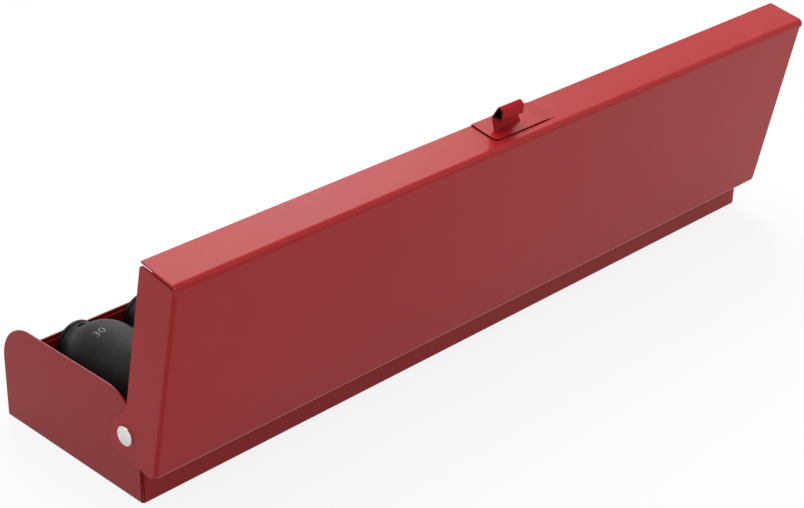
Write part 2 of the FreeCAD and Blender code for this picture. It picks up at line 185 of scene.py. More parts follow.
# white where it is seen; as a light it grows from the horizon to overhead
def makeWorld(look):
    world = bpy.data.worlds.new("studioWorld")
    scene.world = world
    world.use_nodes = True
    tree = world.node_tree
    tree.nodes.clear()
    output = add(tree, "ShaderNodeOutputWorld")
    soft = add(tree, "ShaderNodeBackground")
    white = add(tree, "ShaderNodeBackground")
    for background in (soft, white):
        background.inputs["Color"].default_value = (1, 1, 1, 1)
    way = add(tree, "ShaderNodeSeparateXYZ")
    wire(tree, add(tree, "ShaderNodeTexCoord").outputs["Generated"], way.inputs[0])
    wire(tree, spread(tree, way.outputs["Z"], 0.0, 1.0, *look["worldLevel"]),
         soft.inputs["Strength"])
    mixToSurface(tree, output, seenRays(tree), soft, white)


# matt floor under a white veil, which is whole beyond the fade and thinner near the case
def makeFloor(look):
    half = look["floorSize"] / 2
    mesh = bpy.data.meshes.new("floor")
    mesh.from_pydata([(-half, -half, 0), (half, -half, 0), (half, half, 0), (-half, half, 0)],
                     [], [(0, 1, 2, 3)])
    floor = bpy.data.objects.new("floor", mesh)
    scene.collection.objects.link(floor)
    material = bpy.data.materials.new("paleFloor")
    material.use_nodes = True
    tree = material.node_tree
    tree.nodes.clear()
    output = add(tree, "ShaderNodeOutputMaterial")
    matt = add(tree, "ShaderNodeBsdfDiffuse")
    white = add(tree, "ShaderNodeEmission")
    white.inputs["Color"].default_value = (1, 1, 1, 1)
    reach = add(tree, "ShaderNodeVectorMath", operation="LENGTH")
    wire(tree, add(tree, "ShaderNodeTexCoord").outputs["Object"], reach.inputs[0])
    far = spread(tree, reach.outputs["Value"], *look["floorFade"], smooth=True)
    seen = seenRays(tree)
    wire(tree, mixColour(tree, seen, look["floorBounce"], look["floorColour"]),
         matt.inputs["Color"])
    veil = math2(tree, "MAXIMUM", far, 1.0 - look["shadowShare"])
    mixToSurface(tree, output, math2(tree, "MULTIPLY", seen, veil), matt, white)
    mesh.materials.append(material)


# one round area lamp for each in the list, turned to its aim
def makeLamps(look):
    for name, lampLook in look["lamps"].items():
        data = bpy.data.lights.new(name, "AREA")
        data.shape = "DISK"
        data.size = lampLook["size"]
        data.energy = lampLook["power"]
        lamp = bpy.data.objects.new(name, data)
        lamp.location = lampLook["place"]
        way = Vector(lampLook["aim"]) - Vector(lampLook["place"])
        lamp.rotation_euler = way.to_track_quat("-Z", "Y").to_euler()
        scene.collection.objects.link(lamp)


makeWorld(studio)
makeFloor(studio)
makeLamps(studio)
print("studio ready")

# shared effects, each one node group with named inputs and outputs


# empty group with float inputs {name: default}, a Vector input, and float outputs
def newGroup(name, inputs, outputs):
    tree = bpy.data.node_groups.new(name, "ShaderNodeTree")
    tree.interface.new_socket(name="Vector", in_out="INPUT", socket_type="NodeSocketVector")
    for socket, value in inputs.items():
        item = tree.interface.new_socket(name=socket, in_out="INPUT",
                                         socket_type="NodeSocketFloat")
        item.default_value = value
    for socket in outputs:
        tree.interface.new_socket(name=socket, in_out="OUTPUT", socket_type="NodeSocketFloat")
    inlet = add(tree, "NodeGroupInput")
    outlet = add(tree, "NodeGroupOutput")
    return tree, inlet, outlet


peelLook = {
    "peelSize": 700.0,
    "peelDetail": 1.5,
    "peelShare": 0.05,
    "waveSize": 14.0,
    "waveStretch": (0.7, 1.0, 1.0),
    "toneSize": 9.0,
}


# sprayed paint: height = peel share * fine peel + wave share * slow waves; tone = cloud
def makeOrangePeel(look):
    tree, inlet, outlet = newGroup("orangePeel", {"Wave Share": 0.5}, ("Height", "Tone"))
    here = inlet.outputs["Vector"]
    peel = noise(tree, here, look["peelSize"], look["peelDetail"])
    wave = noise(tree, here, look["waveSize"], 1.0, stretch=look["waveStretch"])
    waved = math2(tree, "MULTIPLY", wave, inlet.outputs["Wave Share"])
    wire(tree, math2(tree, "ADD", math2(tree, "MULTIPLY", peel, look["peelShare"]), waved),
         outlet.inputs["Height"])
    wire(tree, noise(tree, here, look["toneSize"], 3.0), outlet.inputs["Tone"])
    return tree


wearLook = {
    "samples": 6,
    "bend": (0.02, 0.25),
    "amountShare": 0.4,
    "wornFrom": (0.62, 0.74),
}


# edge = how far a rounded corner's normal leaves the flat one, wear = edge * broken patches
def makeEdgeWear(look):
    tree, inlet, outlet = newGroup("edgeWear", {"Width": 0.0006, "Breaks": 160.0, "Amount": 0.5},
                                 ("Edge", "Wear"))
    bevel = add(tree, "ShaderNodeBevel", samples=look["samples"])
    wire(tree, inlet.outputs["Width"], bevel.inputs["Radius"])
    flat = add(tree, "ShaderNodeNewGeometry")
    dot = add(tree, "ShaderNodeVectorMath", operation="DOT_PRODUCT")
    wire(tree, bevel.outputs[0], dot.inputs[0])
    wire(tree, flat.outputs["Normal"], dot.inputs[1])
    bend = math2(tree, "SUBTRACT", 1.0, dot.outputs["Value"])
    edge = spread(tree, bend, *look["bend"], smooth=True)
    wire(tree, edge, outlet.inputs["Edge"])
    breaks = noise(tree, inlet.outputs["Vector"], inlet.outputs["Breaks"], 4.0, 0.65)
    amount = math2(tree, "MULTIPLY", inlet.outputs["Amount"], look["amountShare"])
    worn = spread(tree, math2(tree, "ADD", breaks, amount), *look["wornFrom"])
    wire(tree, math2(tree, "MULTIPLY", edge, worn), outlet.inputs["Wear"])
    return tree


dustLook = {
    "facing": (0.35, 1.0),
    "patchSize": 45.0,
    "patch": (0.3, 0.8),
}


# dust = how far a face looks up * cloudy patches * amount
def makeDust(look):
    tree, inlet, outlet = newGroup("settledDust", {"Amount": 0.3}, ("Dust",))
    facing = add(tree, "ShaderNodeSeparateXYZ")
    wire(tree, add(tree, "ShaderNodeTexCoord").outputs["Normal"], facing.inputs[0])
    up = spread(tree, facing.outputs["Z"], *look["facing"], smooth=True)
    cloud = noise(tree, inlet.outputs["Vector"], look["patchSize"], 5.0, 0.6)
    patch = spread(tree, cloud, *look["patch"], smooth=True)
    patched = math2(tree, "MULTIPLY", up, patch)
    wire(tree, math2(tree, "MULTIPLY", patched, inlet.outputs["Amount"]),
         outlet.inputs["Dust"])
    return tree


turnedLook = {
    "ringStretch": (12.0, 2600.0, 12.0),
    "ringShare": 0.35,
    "cloudSize": 55.0,
}


# height = lathe rings round the Y axis + forge mottle; cloud = slow change of tone
def makeTurnedGrain(look):
    tree, inlet, outlet = newGroup("turnedGrain", {"Mottle Size": 420.0},
                                 ("Height", "Mottle", "Cloud"))
    here = inlet.outputs["Vector"]
    rings = noise(tree, here, 1.0, 2.0, stretch=look["ringStretch"])
    mottle = noise(tree, here, inlet.outputs["Mottle Size"], 4.0, 0.6)
    wire(tree, math2(tree, "ADD", math2(tree, "MULTIPLY", rings, look["ringShare"]), mottle),
         outlet.inputs["Height"])
    wire(tree, mottle, outlet.inputs["Mottle"])
    wire(tree, noise(tree, here, look["cloudSize"], 3.0), outlet.inputs["Cloud"])
    return tree


brushedLook = {
    "scratchStretch": (400.0, 400.0, 4200.0),
    "stainSize": 90.0,
}


# height = fine scratches one way; stain = slow patches
def makeBrushedGrain(look):
    tree, inlet, outlet = newGroup("brushedGrain", {}, ("Height", "Stain"))
    here = inlet.outputs["Vector"]
    wire(tree, noise(tree, here, 1.0, 3.0, stretch=look["scratchStretch"]),
         outlet.inputs["Height"])
    wire(tree, noise(tree, here, look["stainSize"], 4.0, 0.6), outlet.inputs["Stain"])
    return tree


effects = {
    "orangePeel": makeOrangePeel(peelLook),
    "edgeWear": makeEdgeWear(wearLook),
    "settledDust": makeDust(dustLook),
    "turnedGrain": makeTurnedGrain(turnedLook),
    "brushedGrain": makeBrushedGrain(brushedLook),
}


# an effect in a material, with this material's values
def place(tree, effect, vector, **values):
    node = add(tree, "ShaderNodeGroup", node_tree=effects[effect])
    wire(tree, vector, node.inputs["Vector"])
    for name, value in values.items():
        node.inputs[name].default_value = value
    return node.outputs


# material with one shader; gives it, its tree, the shader and the object coordinates
def newFinish(name, metallic=0.0, specular=0.5):
    material = bpy.data.materials.new(name)
    material.use_nodes = True
    tree = material.node_tree
    shader = tree.nodes["Principled BSDF"]
    shader.inputs["Metallic"].default_value = metallic
    shader.inputs["Specular IOR Level"].default_value = specular
    return material, tree, shader, add(tree, "ShaderNodeTexCoord").outputs["Object"]


# height in 0..1 times distance in metres, into the shader's normal
def bump(tree, shader, height, distance):
    node = add(tree, "ShaderNodeBump")
    node.inputs["Distance"].default_value = distance
    wire(tree, height, node.inputs["Height"])
    wire(tree, node.outputs[0], shader.inputs["Normal"])


paint = {
    "colour": (0.49, 0.015, 0.019),
    "deep": (0.44, 0.012, 0.016),
    "rubbed": (0.50, 0.06, 0.055),
    "dustColour": (0.52, 0.45, 0.42),
    "shade": 1.0,
    "roughness": (0.29, 0.38),
    "specular": 0.19,
    "bump": 0.00020,
    "wave": 0.5,
    "wearWidth": 0.0005,
    "wearAmount": 0.35,
    "edgeShare": 0.25,
    "wornShare": 0.4,
    "wornRough": 0.2,
    "dust": 0.02,
    "dustRough": 0.8,
}


# gloss paint on folded sheet: deep to bright by the peel's tone, rubbed edges, a little dust;
# a shade below 1 darkens it all, and a dark rubbed colour darkens the edges, as painted shade
def makePaint(name, look):
    material, tree, shader, here = newFinish(name, specular=look["specular"])
    peel = place(tree, "orangePeel", here, **{"Wave Share": look["wave"]})
    wear = place(tree, "edgeWear", here, Width=look["wearWidth"], Amount=look["wearAmount"])
    dust = place(tree, "settledDust", here, Amount=look["dust"])
    deep = tuple(c * look["shade"] for c in look["deep"])
    bright = tuple(c * look["shade"] for c in look["colour"])
    colour = mixColour(tree, peel["Tone"], deep, bright)
    colour = mixColour(tree, math2(tree, "MULTIPLY", wear["Edge"], look["edgeShare"]), colour,
                       look["rubbed"])
    colour = mixColour(tree, math2(tree, "MULTIPLY", wear["Wear"], look["wornShare"]), colour,
                       look["rubbed"])
    colour = mixColour(tree, dust["Dust"], colour, look["dustColour"])
    wire(tree, colour, shader.inputs["Base Color"])
    rough = spread(tree, peel["Tone"], 0.0, 1.0, *look["roughness"])
    rough = math2(tree, "ADD", rough,
                  math2(tree, "MULTIPLY", wear["Wear"], look["wornRough"]))
    rough = math2(tree, "ADD", rough,
                  math2(tree, "MULTIPLY", dust["Dust"], look["dustRough"]))
    wire(tree, rough, shader.inputs["Roughness"])
    bump(tree, shader, peel["Height"], look["bump"])
    return material


phosphate = {
    "colour": (0.007, 0.007, 0.0075),
    "pale": (0.018, 0.017, 0.016),
    "rubbed": (0.16, 0.15, 0.145),
    "dustColour": (0.30, 0.27, 0.24),
    "toneSpan": (0.35, 0.66),
    "roughness": (0.42, 0.60),
    "specular": 0.14,
    "bump": 0.00006,
    "wearWidth": 0.0005,
    "wearBreaks": 240.0,
    "wearAmount": 0.6,
    "wornPolish": 0.15,
    "wornMetal": 0.8,
    "dust": 0.07,
}


# black phosphate over forged and turned steel, oiled; tone = half mottle + half cloud
def makePhosphate(look):
    material, tree, shader, here = newFinish("blackPhosphate", specular=look["specular"])
    grain = place(tree, "turnedGrain", here)
    wear = place(tree, "edgeWear", here, Width=look["wearWidth"], Breaks=look["wearBreaks"],
                 Amount=look["wearAmount"])
    dust = place(tree, "settledDust", here, Amount=look["dust"])
    tone = math2(tree, "ADD", math2(tree, "MULTIPLY", grain["Mottle"], 0.5),
                 math2(tree, "MULTIPLY", grain["Cloud"], 0.5))
    colour = mixColour(tree, spread(tree, tone, *look["toneSpan"]), look["colour"],
                       look["pale"])
    colour = mixColour(tree, wear["Wear"], colour, look["rubbed"])
    colour = mixColour(tree, dust["Dust"], colour, look["dustColour"])
    wire(tree, colour, shader.inputs["Base Color"])
    rough = spread(tree, tone, *look["toneSpan"], *look["roughness"])
    polish = math2(tree, "MULTIPLY", wear["Wear"], look["wornPolish"])
    wire(tree, math2(tree, "SUBTRACT", rough, polish), shader.inputs["Roughness"])
    wire(tree, math2(tree, "MULTIPLY", wear["Wear"], look["wornMetal"]),
         shader.inputs["Metallic"])
    bump(tree, shader, grain["Height"], look["bump"])
    return material


zinc = {
    "colour": (0.76, 0.76, 0.74),
    "stain": (0.62, 0.61, 0.58),
    "bright": (0.90, 0.90, 0.88),
    "stainSpan": (0.42, 0.66),
    "roughness": (0.24, 0.42),
    "bump": 0.00003,
    "edgeWidth": 0.0004,
    "edgeShare": 0.4,
}
darkZinc = {
    **zinc,
    "colour": (0.035, 0.035, 0.036),
    "stain": (0.020, 0.020, 0.020),
    "bright": (0.10, 0.10, 0.10),
    "roughness": (0.34, 0.50),
}


# zinc plate on small steel parts, bright or black: clean to stained, brighter edges
def makeZinc(name, look):
    material, tree, shader, here = newFinish(name, metallic=1.0)
    grain = place(tree, "brushedGrain", here)
    wear = place(tree, "edgeWear", here, Width=look["edgeWidth"])
    stain = spread(tree, grain["Stain"], *look["stainSpan"])
    colour = mixColour(tree, stain, look["colour"], look["stain"])
    colour = mixColour(tree, math2(tree, "MULTIPLY", wear["Edge"], look["edgeShare"]), colour,
                       look["bright"])
    wire(tree, colour, shader.inputs["Base Color"])
    wire(tree, spread(tree, stain, 0.0, 1.0, *look["roughness"]), shader.inputs["Roughness"])
    bump(tree, shader, grain["Height"], look["bump"])
    return material


etch = {
    "colour": (0.36, 0.35, 0.33),
    "faded": (0.12, 0.12, 0.115),
    "mottleSize": 1500.0,
    "fadeSpan": (0.42, 0.60),
    "cloudSpan": (0.3, 0.7),
    "roughness": (0.5, 0.7),
    "bump": 0.00005,
}


# pale etched numerals, faded where the mottle under them is low
def makeEtch(look):
    material, tree, shader, here = newFinish("etchedSteel")
    grain = place(tree, "turnedGrain", here, **{"Mottle Size": look["mottleSize"]})
    fade = spread(tree, grain["Mottle"], *look["fadeSpan"])
    wire(tree, mixColour(tree, fade, look["faded"], look["colour"]),
         shader.inputs["Base Color"])
    wire(tree, spread(tree, grain["Cloud"], *look["cloudSpan"], *look["roughness"]),
         shader.inputs["Roughness"])
    bump(tree, shader, grain["Height"], look["bump"])
    return material


latchLook = {**paint, "colour": (0.50, 0.010, 0.014), "specular": 0.07}
# painted shade: the tray in the lid's red darkened to 0.86, its edges rubbed dark, for the
# weaker light on it
shadedTrayLook = {**paint, "rubbed": (0.30, 0.02, 0.02), "wave": 0.3, "shade": 0.86}
# painted shade: the lid's red darkened to 0.55 for the tray's inside, its top edges, the peg
# strip and the rail
shadedInsideLook = {**paint, "wave": 0.3, "shade": 0.55}
# painted shade: dark red for the tongue's cut edges and their rounding, and for the pull's fold
# ends
edgeShadeLook = {
    **paint,
    "colour": (0.22, 0.010, 0.012),
    "deep": (0.17, 0.008, 0.010),
    "rubbed": (0.22, 0.02, 0.02),
    "dustColour": (0.20, 0.15, 0.14),
    "roughness": (0.45, 0.60),
    "specular": 0.10,
    "bump": 0.00010,
}
# painted shade: near black for the hollow inside the pull's fold and the ring round each cross
# hole
blackShadeLook = {
    **paint,
    "colour": (0.012, 0.008, 0.008),
    "deep": (0.006, 0.004, 0.004),
    "rubbed": (0.03, 0.02, 0.02),
    "dustColour": (0.05, 0.04, 0.04),
    "roughness": (0.60, 0.80),
    "specular": 0.05,
    "bump": 0.00010,
}

redPaint = makePaint("redPaint", paint)
latchPaint = makePaint("redLatchPaint", latchLook)
edgeShadePaint = makePaint("paintedShadeEdge", edgeShadeLook)
blackShade = makePaint("blackShadePaint", blackShadeLook)
shadedTray = makePaint("shadedTrayPaint", shadedTrayLook)
shadedInside = makePaint("shadedInsidePaint", shadedInsideLook)
blackZinc = makeZinc("blackZinc", darkZinc)
blackPhosphate = makePhosphate(phosphate)
zincPlate = makeZinc("zincPlate", zinc)
etchedSteel = makeEtch(etch)
print("finishes ready")

# mesh helpers


# faces of a piece that a test on their centres and normals (n, 3) picks get a second material
def pickFaces(piece, material, test):
    mesh = piece.data
    centres = np.empty(len(mesh.polygons) * 3)
    normals = np.empty(len(mesh.polygons) * 3)
    mesh.polygons.foreach_get("center", centres)
    mesh.polygons.foreach_get("normal", normals)
    index = np.empty(len(mesh.polygons), dtype=np.int32)
    mesh.polygons.foreach_get("material_index", index)
    picked = test(centres.reshape(-1, 3), normals.reshape(-1, 3))
    mesh.materials.append(material)
    index[picked] = len(mesh.materials) - 1
    mesh.polygons.foreach_set("material_index", index)


# piece from grid points and quads
def newPiece(name, verts, quads, body, material, smoothAngle=30.0):
    verts, faces = tidyFaces(verts, quads)
    mesh = bpy.data.meshes.new(name)
    mesh.from_pydata(verts.tolist(), [], faces)
    mesh.update()
    return finishPiece(name, mesh, body, material, smoothAngle)


# object at the origin with a material, smooth below the angle, riding on its body
def finishPiece(name, mesh, body, material, smoothAngle=30.0):
    mesh.validate()
    mesh.polygons.foreach_set("use_smooth", np.ones(len(mesh.polygons), dtype=bool))
    mesh.set_sharp_from_angle(angle=math.radians(smoothAngle))
    mesh.materials.append(material)
    piece = bpy.data.objects.new(name, mesh)
    scene.collection.objects.link(piece)
    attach(piece, body)
    return piece


# quads of a rows x columns grid; around joins the last column to the first
def gridFaces(rows, columns, start=0, flip=False, around=False):
    r, c = np.meshgrid(np.arange(rows - 1), np.arange(columns if around else columns - 1),
                       indexing="ij")
    a = r * columns + c
    b = r * columns + (c + 1) % columns
    quads = np.stack([a, b, b + columns, a + columns], axis=-1).reshape(-1, 4) + start
    return quads[:, ::-1] if flip else quads


# merges equal points; a quad with two equal corners side by side becomes a triangle
def tidyFaces(verts, quads):
    points, index = np.unique(np.round(verts, 8), axis=0, return_inverse=True)
    quads = index.reshape(-1)[quads]
    kept = quads != np.roll(quads, 1, axis=1)
    corners = kept.sum(axis=1)
    three = corners == 3
    triangles = quads[three][kept[three]].reshape(-1, 3)
    return points, quads[corners == 4].tolist() + triangles.tolist()


# closed plate between two grids (rows, columns, 3) of the same size: both grids' quads,
# the second's turned over, and a wall of quads along the rim
def shell(front, back):
    rows, columns = front.shape[:2]
    verts = np.concatenate([front.reshape(-1, 3), back.reshape(-1, 3)])
    shift = rows * columns
    index = np.arange(shift).reshape(rows, columns)
    rim = np.concatenate([index[0, :-1], index[:-1, -1], index[-1, :0:-1], index[:0:-1, 0]])
    following = np.roll(rim, -1)
    sides = np.stack([following, rim, rim + shift, following + shift], axis=-1)
    quads = np.concatenate([gridFaces(rows, columns),
                            gridFaces(rows, columns, shift, flip=True), sides])
    return verts, quads


# points of a run of straight lines with an arc of the given radius at each inner corner:
# centre + radius (cos t, sin t), t from one tangent point to the other, and the centre
# radius / sin(half the corner) away from it
def roundedPath(points, radii, steps=8):
    points = [np.array(p, dtype=float) for p in points]
    out = [points[0]]
    for i in range(1, len(points) - 1):
        before = points[i - 1] - points[i]
        after = points[i + 1] - points[i]
        before /= np.linalg.norm(before)
        after /= np.linalg.norm(after)
        half = math.acos(np.clip(before @ after, -1, 1)) / 2
        reach = radii[i] / math.tan(half)
        inward = (before + after) / np.linalg.norm(before + after)
        centre = points[i] + inward * radii[i] / math.sin(half)
        first = points[i] + before * reach - centre
        last = points[i] + after * reach - centre
        start = math.atan2(first[1], first[0])
        turn = (math.atan2(last[1], last[0]) - start + math.pi) % (2 * math.pi) - math.pi
        t = start + turn * np.linspace(0, 1, steps + 1)
        out.extend(centre + radii[i] * np.stack([np.cos(t), np.sin(t)], axis=-1))
    out.append(points[-1])
    return np.array(out)


# unit normals of a flat path, to its left
def sideways(path):
    way = np.gradient(path, axis=0)
    way /= np.linalg.norm(way, axis=1)[:, None]
    return np.stack([-way[:, 1], way[:, 0]], axis=-1)


sheetEdge = {
    "double": 2e-6,  # points closer than this are one
    "flat": 0.6,  # degrees
    "sharp": 25.0,
    "corner": 60.0,
    "round": 0.00028,  # widths of the rounding
    "fine": 0.0002,
    "peg": 0.0003,
    "segments": 2,
    "join": 5e-6,
}


# copy of a node's mesh: doubles merged, faces less than flat degrees apart joined, edges
# bent by more than sharp degrees weighted 1, apart from those that keepApart names
def mergedCopy(node, keepApart, look=sheetEdge):
    mesh = bpy.data.meshes.new(node.name + "Copy")
    form = bmesh.new()
    form.from_mesh(node.data)
    form.transform(node.matrix_world)
    bmesh.ops.remove_doubles(form, verts=form.verts, dist=look["double"])
    bmesh.ops.dissolve_limit(form, angle_limit=math.radians(look["flat"]), verts=form.verts,
                             edges=form.edges)
    weight = form.edges.layers.float.new("bevel_weight_edge")
    for edge in form.edges:
        if len(edge.link_faces) != 2:
            continue
        middle = (edge.verts[0].co + edge.verts[1].co) / 2
        bent = math.degrees(edge.calc_face_angle(0.0)) > look["sharp"]
        apart = keepApart is not None and keepApart(middle)
        edge[weight] = 1.0 if bent and not apart else 0.0
    form.to_mesh(mesh)
    form.free()
    return mesh


# bevel of the given width on weighted edges, or on those bent by more than corner degrees,
# then points closer than join become one
def roundEdges(piece, method, width, material=-1, look=sheetEdge):
    bevel = piece.modifiers.new("roundedEdges", "BEVEL")
    bevel.limit_method = method
    bevel.angle_limit = math.radians(look["corner"])
    bevel.width = width
    bevel.segments = look["segments"]
    bevel.material = material
    weld = piece.modifiers.new("joinedPoints", "WELD")
    weld.merge_threshold = look["join"]


# folded sheet part: its node's copy with the cut edges rounded
def roundedSheet(name, nodeName, body, material, width=sheetEdge["round"],
                 keepApart=None):
    piece = finishPiece(name, mergedCopy(nodes[nodeName], keepApart), body, material)
    roundEdges(piece, "WEIGHT", width)
    smooth = piece.modifiers.new("evenNormals", "WEIGHTED_NORMAL")
    smooth.keep_sharp = True
    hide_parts(nodeName)
    return piece


# the case: sizes in metres that the dressed pieces share with the solids

case = {
    "front": -0.0582,
    "hingeY": 0.0490,
    "hingeZ": 0.0382,
    "openAngle": 100.7,
    "sheet": 0.001,
    "lidEdge": 0.0370,  # the front flange's lower edge, lid shut
    "skin": 0.0006,
    "wallLevel": 0.03,
}


# turns shut coordinates (..., 3) open about the hinge:
# y' = hy + (y-hy) cos a + (z-hz) sin a,  z' = hz - (y-hy) sin a + (z-hz) cos a
def openLid(points, look=case):
    a = math.radians(look["openAngle"])
    y = points[..., 1] - look["hingeY"]
    z = points[..., 2] - look["hingeZ"]
    return np.stack([points[..., 0],
                     look["hingeY"] + y * math.cos(a) + z * math.sin(a),
                     look["hingeZ"] - y * math.sin(a) + z * math.cos(a)], axis=-1)


tongue = {
    "root": -0.0220,
    "end": 0.0260,
    "top": 0.0555,
    "corner": 0.0032,
    "ramp": 0.0100,
    "rise": 0.0009,  # how far the free end stands out, outer face and inner face
    "innerRise": 0.0006,
    "rows": 90,
    "columns": 12,
    "edgeRound": 0.00026,
    "rootBand": 0.0002,
    "rootLevel": 0.12,
}


# edges where the lid meets the tongue stay sharp: |x - root| < band on the open lid's top
def atTongueRoot(middle, look=tongue):
    return abs(middle.x - look["root"]) < look["rootBand"] and middle.z > look["rootLevel"]


# the tray's inside and its cut edges, which get painted shade: faces more than a skin in from
# the tray's box that stand upright or look up, and tilted faces high on the walls
def insideTray(centres, normals, look=case):
    low, high = (np.array(corner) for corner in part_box("tray"))
    deep = np.minimum(centres - low, high - centres)[:, :2] > look["skin"]
    upright = np.abs(normals[:, :2]) > 0.7  # within about 45 degrees of x or y
    bed = (normals[:, 2] > 0.5) & deep.all(axis=1)
    rim = ~upright.any(axis=1) & (centres[:, 2] > look["wallLevel"])
    return (upright & deep).any(axis=1) | bed | rim


caseTray = roundedSheet("caseTray", "tray", "tray_body", shadedTray)
pickFaces(caseTray, shadedInside, insideTray)
roundedSheet("caseLid", "lid", "lid_body", redPaint, keepApart=atTongueRoot)
roundedSheet("catchPlate", "catch_plate", "tray_body", zincPlate)
# peg strip and cradle rail in the painted-shade red of the tray's inside
roundedSheet("pegStrip", "peg_strip", "tray_body", shadedInside,
             width=sheetEdge["fine"])
roundedSheet("cradleRail", "cradle_rail", "tray_body", shadedInside,
             width=sheetEdge["fine"])
roundedSheet("drivePegs", "drive_pegs", "tray_body", blackZinc,
             width=sheetEdge["peg"])
print("case ready")


# plate over x and z: z = edge + v (top(x) - edge), top(x) falling as a circle at the free
# corner, y = front - rise s s (3 - 2 s) along the ramp, s = (x - root) / ramp in 0..1
def makeTongue(look):
    u = np.linspace(0, 1, look["rows"])
    x = look["root"] + (look["end"] - look["root"]) * np.sin(u * math.pi / 2)
    over = np.clip((x - (look["end"] - look["corner"])) / look["corner"], 0, 1)
    top = look["top"] - look["corner"] * (1 - np.sqrt(1 - over ** 2))
    v = np.linspace(0, 1, look["columns"])
    z = case["lidEdge"] + v[None, :] * (top[:, None] - case["lidEdge"])
    s = np.clip((x - look["root"]) / look["ramp"], 0, 1)
    bend = s * s * (3 - 2 * s)

    def side(start, rise):
        y = (start - rise * bend)[:, None] + 0 * z
        return openLid(np.stack([x[:, None] + 0 * z, y, z], axis=-1))

    verts, quads = shell(side(case["front"] + case["sheet"], look["innerRise"]),
                         side(case["front"], look["rise"]))
    piece = newPiece("latchTongue", verts, quads, "tongue_body", redPaint,
                     smoothAngle=40)
    outward = openLid(np.array([[0, -1.0, 0]])) - openLid(np.zeros((1, 3)))
    # painted shade: the tongue's cut edges and their rounding in dark red, for the shade in the
    # slit
    pickFaces(piece, edgeShadePaint, lambda centres, normals: np.abs(normals @ outward[0]) < 0.5)
    roundEdges(piece, "ANGLE", look["edgeRound"], material=1)
    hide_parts("latch_tongue")


pull = {
    "base": 0.0485,
    "fold": [(0.0006, 0.0), (0.0078, -0.0034), (0.0155, -0.0004), (0.0142, 0.0025),
             (0.0088, 0.0031), (0.0084, -0.0016)],
    "rounds": [0, 0.0011, 0.0008, 0.0012, 0.0009, 0],
    "near": 0.0198,  # x of the strip's straight end, and of its slanted one
    "footEnd": -0.0009,
    "ridgeEnd": 0.0029,
    "taper": (0.0045, 0.0095),
    "nose": (0.0008, 0.0056, 0.0037),  # left, right and reach through the tongue
    "core": 0.0118,  # how far out the fold's middle lies, and where its hollow starts
    "coreClear": 0.0002,
    "hollow": 0.0074,
    "columns": 14,
    "edgeRound": 0.00018,
}


# folded strip: its middle line in (outward, up) carried along x, half a sheet each side,
# from x = near to far, which slants from the foot's end to the ridge's end over the taper;
# the nose is a straight bar through the tongue
def makePull(look):
    path = roundedPath(look["fold"], look["rounds"])
    side = sideways(path) * case["sheet"] / 2
    out = path[:, 0]
    low, high = look["taper"]
    slant = np.clip((out - low) / (high - low), 0, 1)
    far = look["footEnd"] + (look["ridgeEnd"] - look["footEnd"]) * slant
    v = np.linspace(0, 1, look["columns"])
    x = look["near"] + v[None, :] * (far[:, None] - look["near"])

    def face(way):
        line = path + way * side
        y = np.broadcast_to(case["front"] - line[:, :1], x.shape)
        z = np.broadcast_to(look["base"] + line[:, 1:], x.shape)
        return openLid(np.stack([x, y, z], axis=-1))

    left, right, reach = look["nose"]
    under = look["base"] - case["sheet"] / 2
    bar = np.array([[[left, case["front"], under], [right, case["front"], under]],
                    [[left, case["front"] + reach, under],
                     [right, case["front"] + reach, under]]])
    strip, stripQuads = shell(face(1), face(-1))
    nose, noseQuads = shell(openLid(bar), openLid(bar + [0, 0, case["sheet"]]))
    piece = newPiece("latchPull", np.concatenate([strip, nose]),
                     np.concatenate([stripQuads, noseQuads + len(strip)]), "tongue_body",
                     latchPaint, smoothAngle=40)
    core, foot = openLid(np.array([[0, case["front"] - look["core"], look["base"]],
                                   [0, case["front"] - look["hollow"], look["base"]]]))

    def inFold(centres):
        return (centres - foot) @ (core - foot) > 0

    def insideFold(centres, normals):
        toCore = (core - centres) * [0, 1, 1]
        facing = np.einsum("ij,ij->i", toCore, normals) > look["coreClear"]
        return inFold(centres) & facing & (np.abs(normals[:, 0]) < 0.5)

    def foldEnds(centres, normals):
        return inFold(centres) & (np.abs(normals[:, 0]) > 0.5)

    # painted shade: near black inside the fold's hollow, dark red on the fold's ends
    pickFaces(piece, blackShade, insideFold)
    pickFaces(piece, edgeShadePaint, foldEnds)
    roundEdges(piece, "ANGLE", look["edgeRound"])
    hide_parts("latch_pull")


makeTongue(tongue)
makePull(pull)
print("latch ready")

rivet = {
    "seat": 0.25145,  # x of the head's underside
    "head": 0.0055,
    "edge": 0.0015,
    "rise": 0.0022,
    "shoulder": 0.0006,
    "shank": 0.0029,
    "clinch": 0.0043,
    "clinchRise": 0.0016,
    "wallInside": 0.2480,
    "segments": 72,
}
washer = {
    "outer": 0.006,
    "play": 0.00005,  # between the hole and the shank
    "cut": 0.00015,
    "segments": 64,
}


# profile (a, r) turned round the hinge's axis: (way a, hingeY + r cos t, hingeZ + r sin t)
def turned(profile, segments, way):
    profile = np.array(profile)
    t = np.linspace(0, 2 * math.pi, segments, endpoint=False)
    a = np.broadcast_to(profile[:, :1] * way, (len(profile), segments))
    r = profile[:, 1:]
    verts = np.stack([a, case["hingeY"] + r * np.cos(t), case["hingeZ"] + r * np.sin(t)],
                     axis=-1)
    return verts.reshape(-1, 3), gridFaces(len(profile), segments, around=True, flip=way < 0)


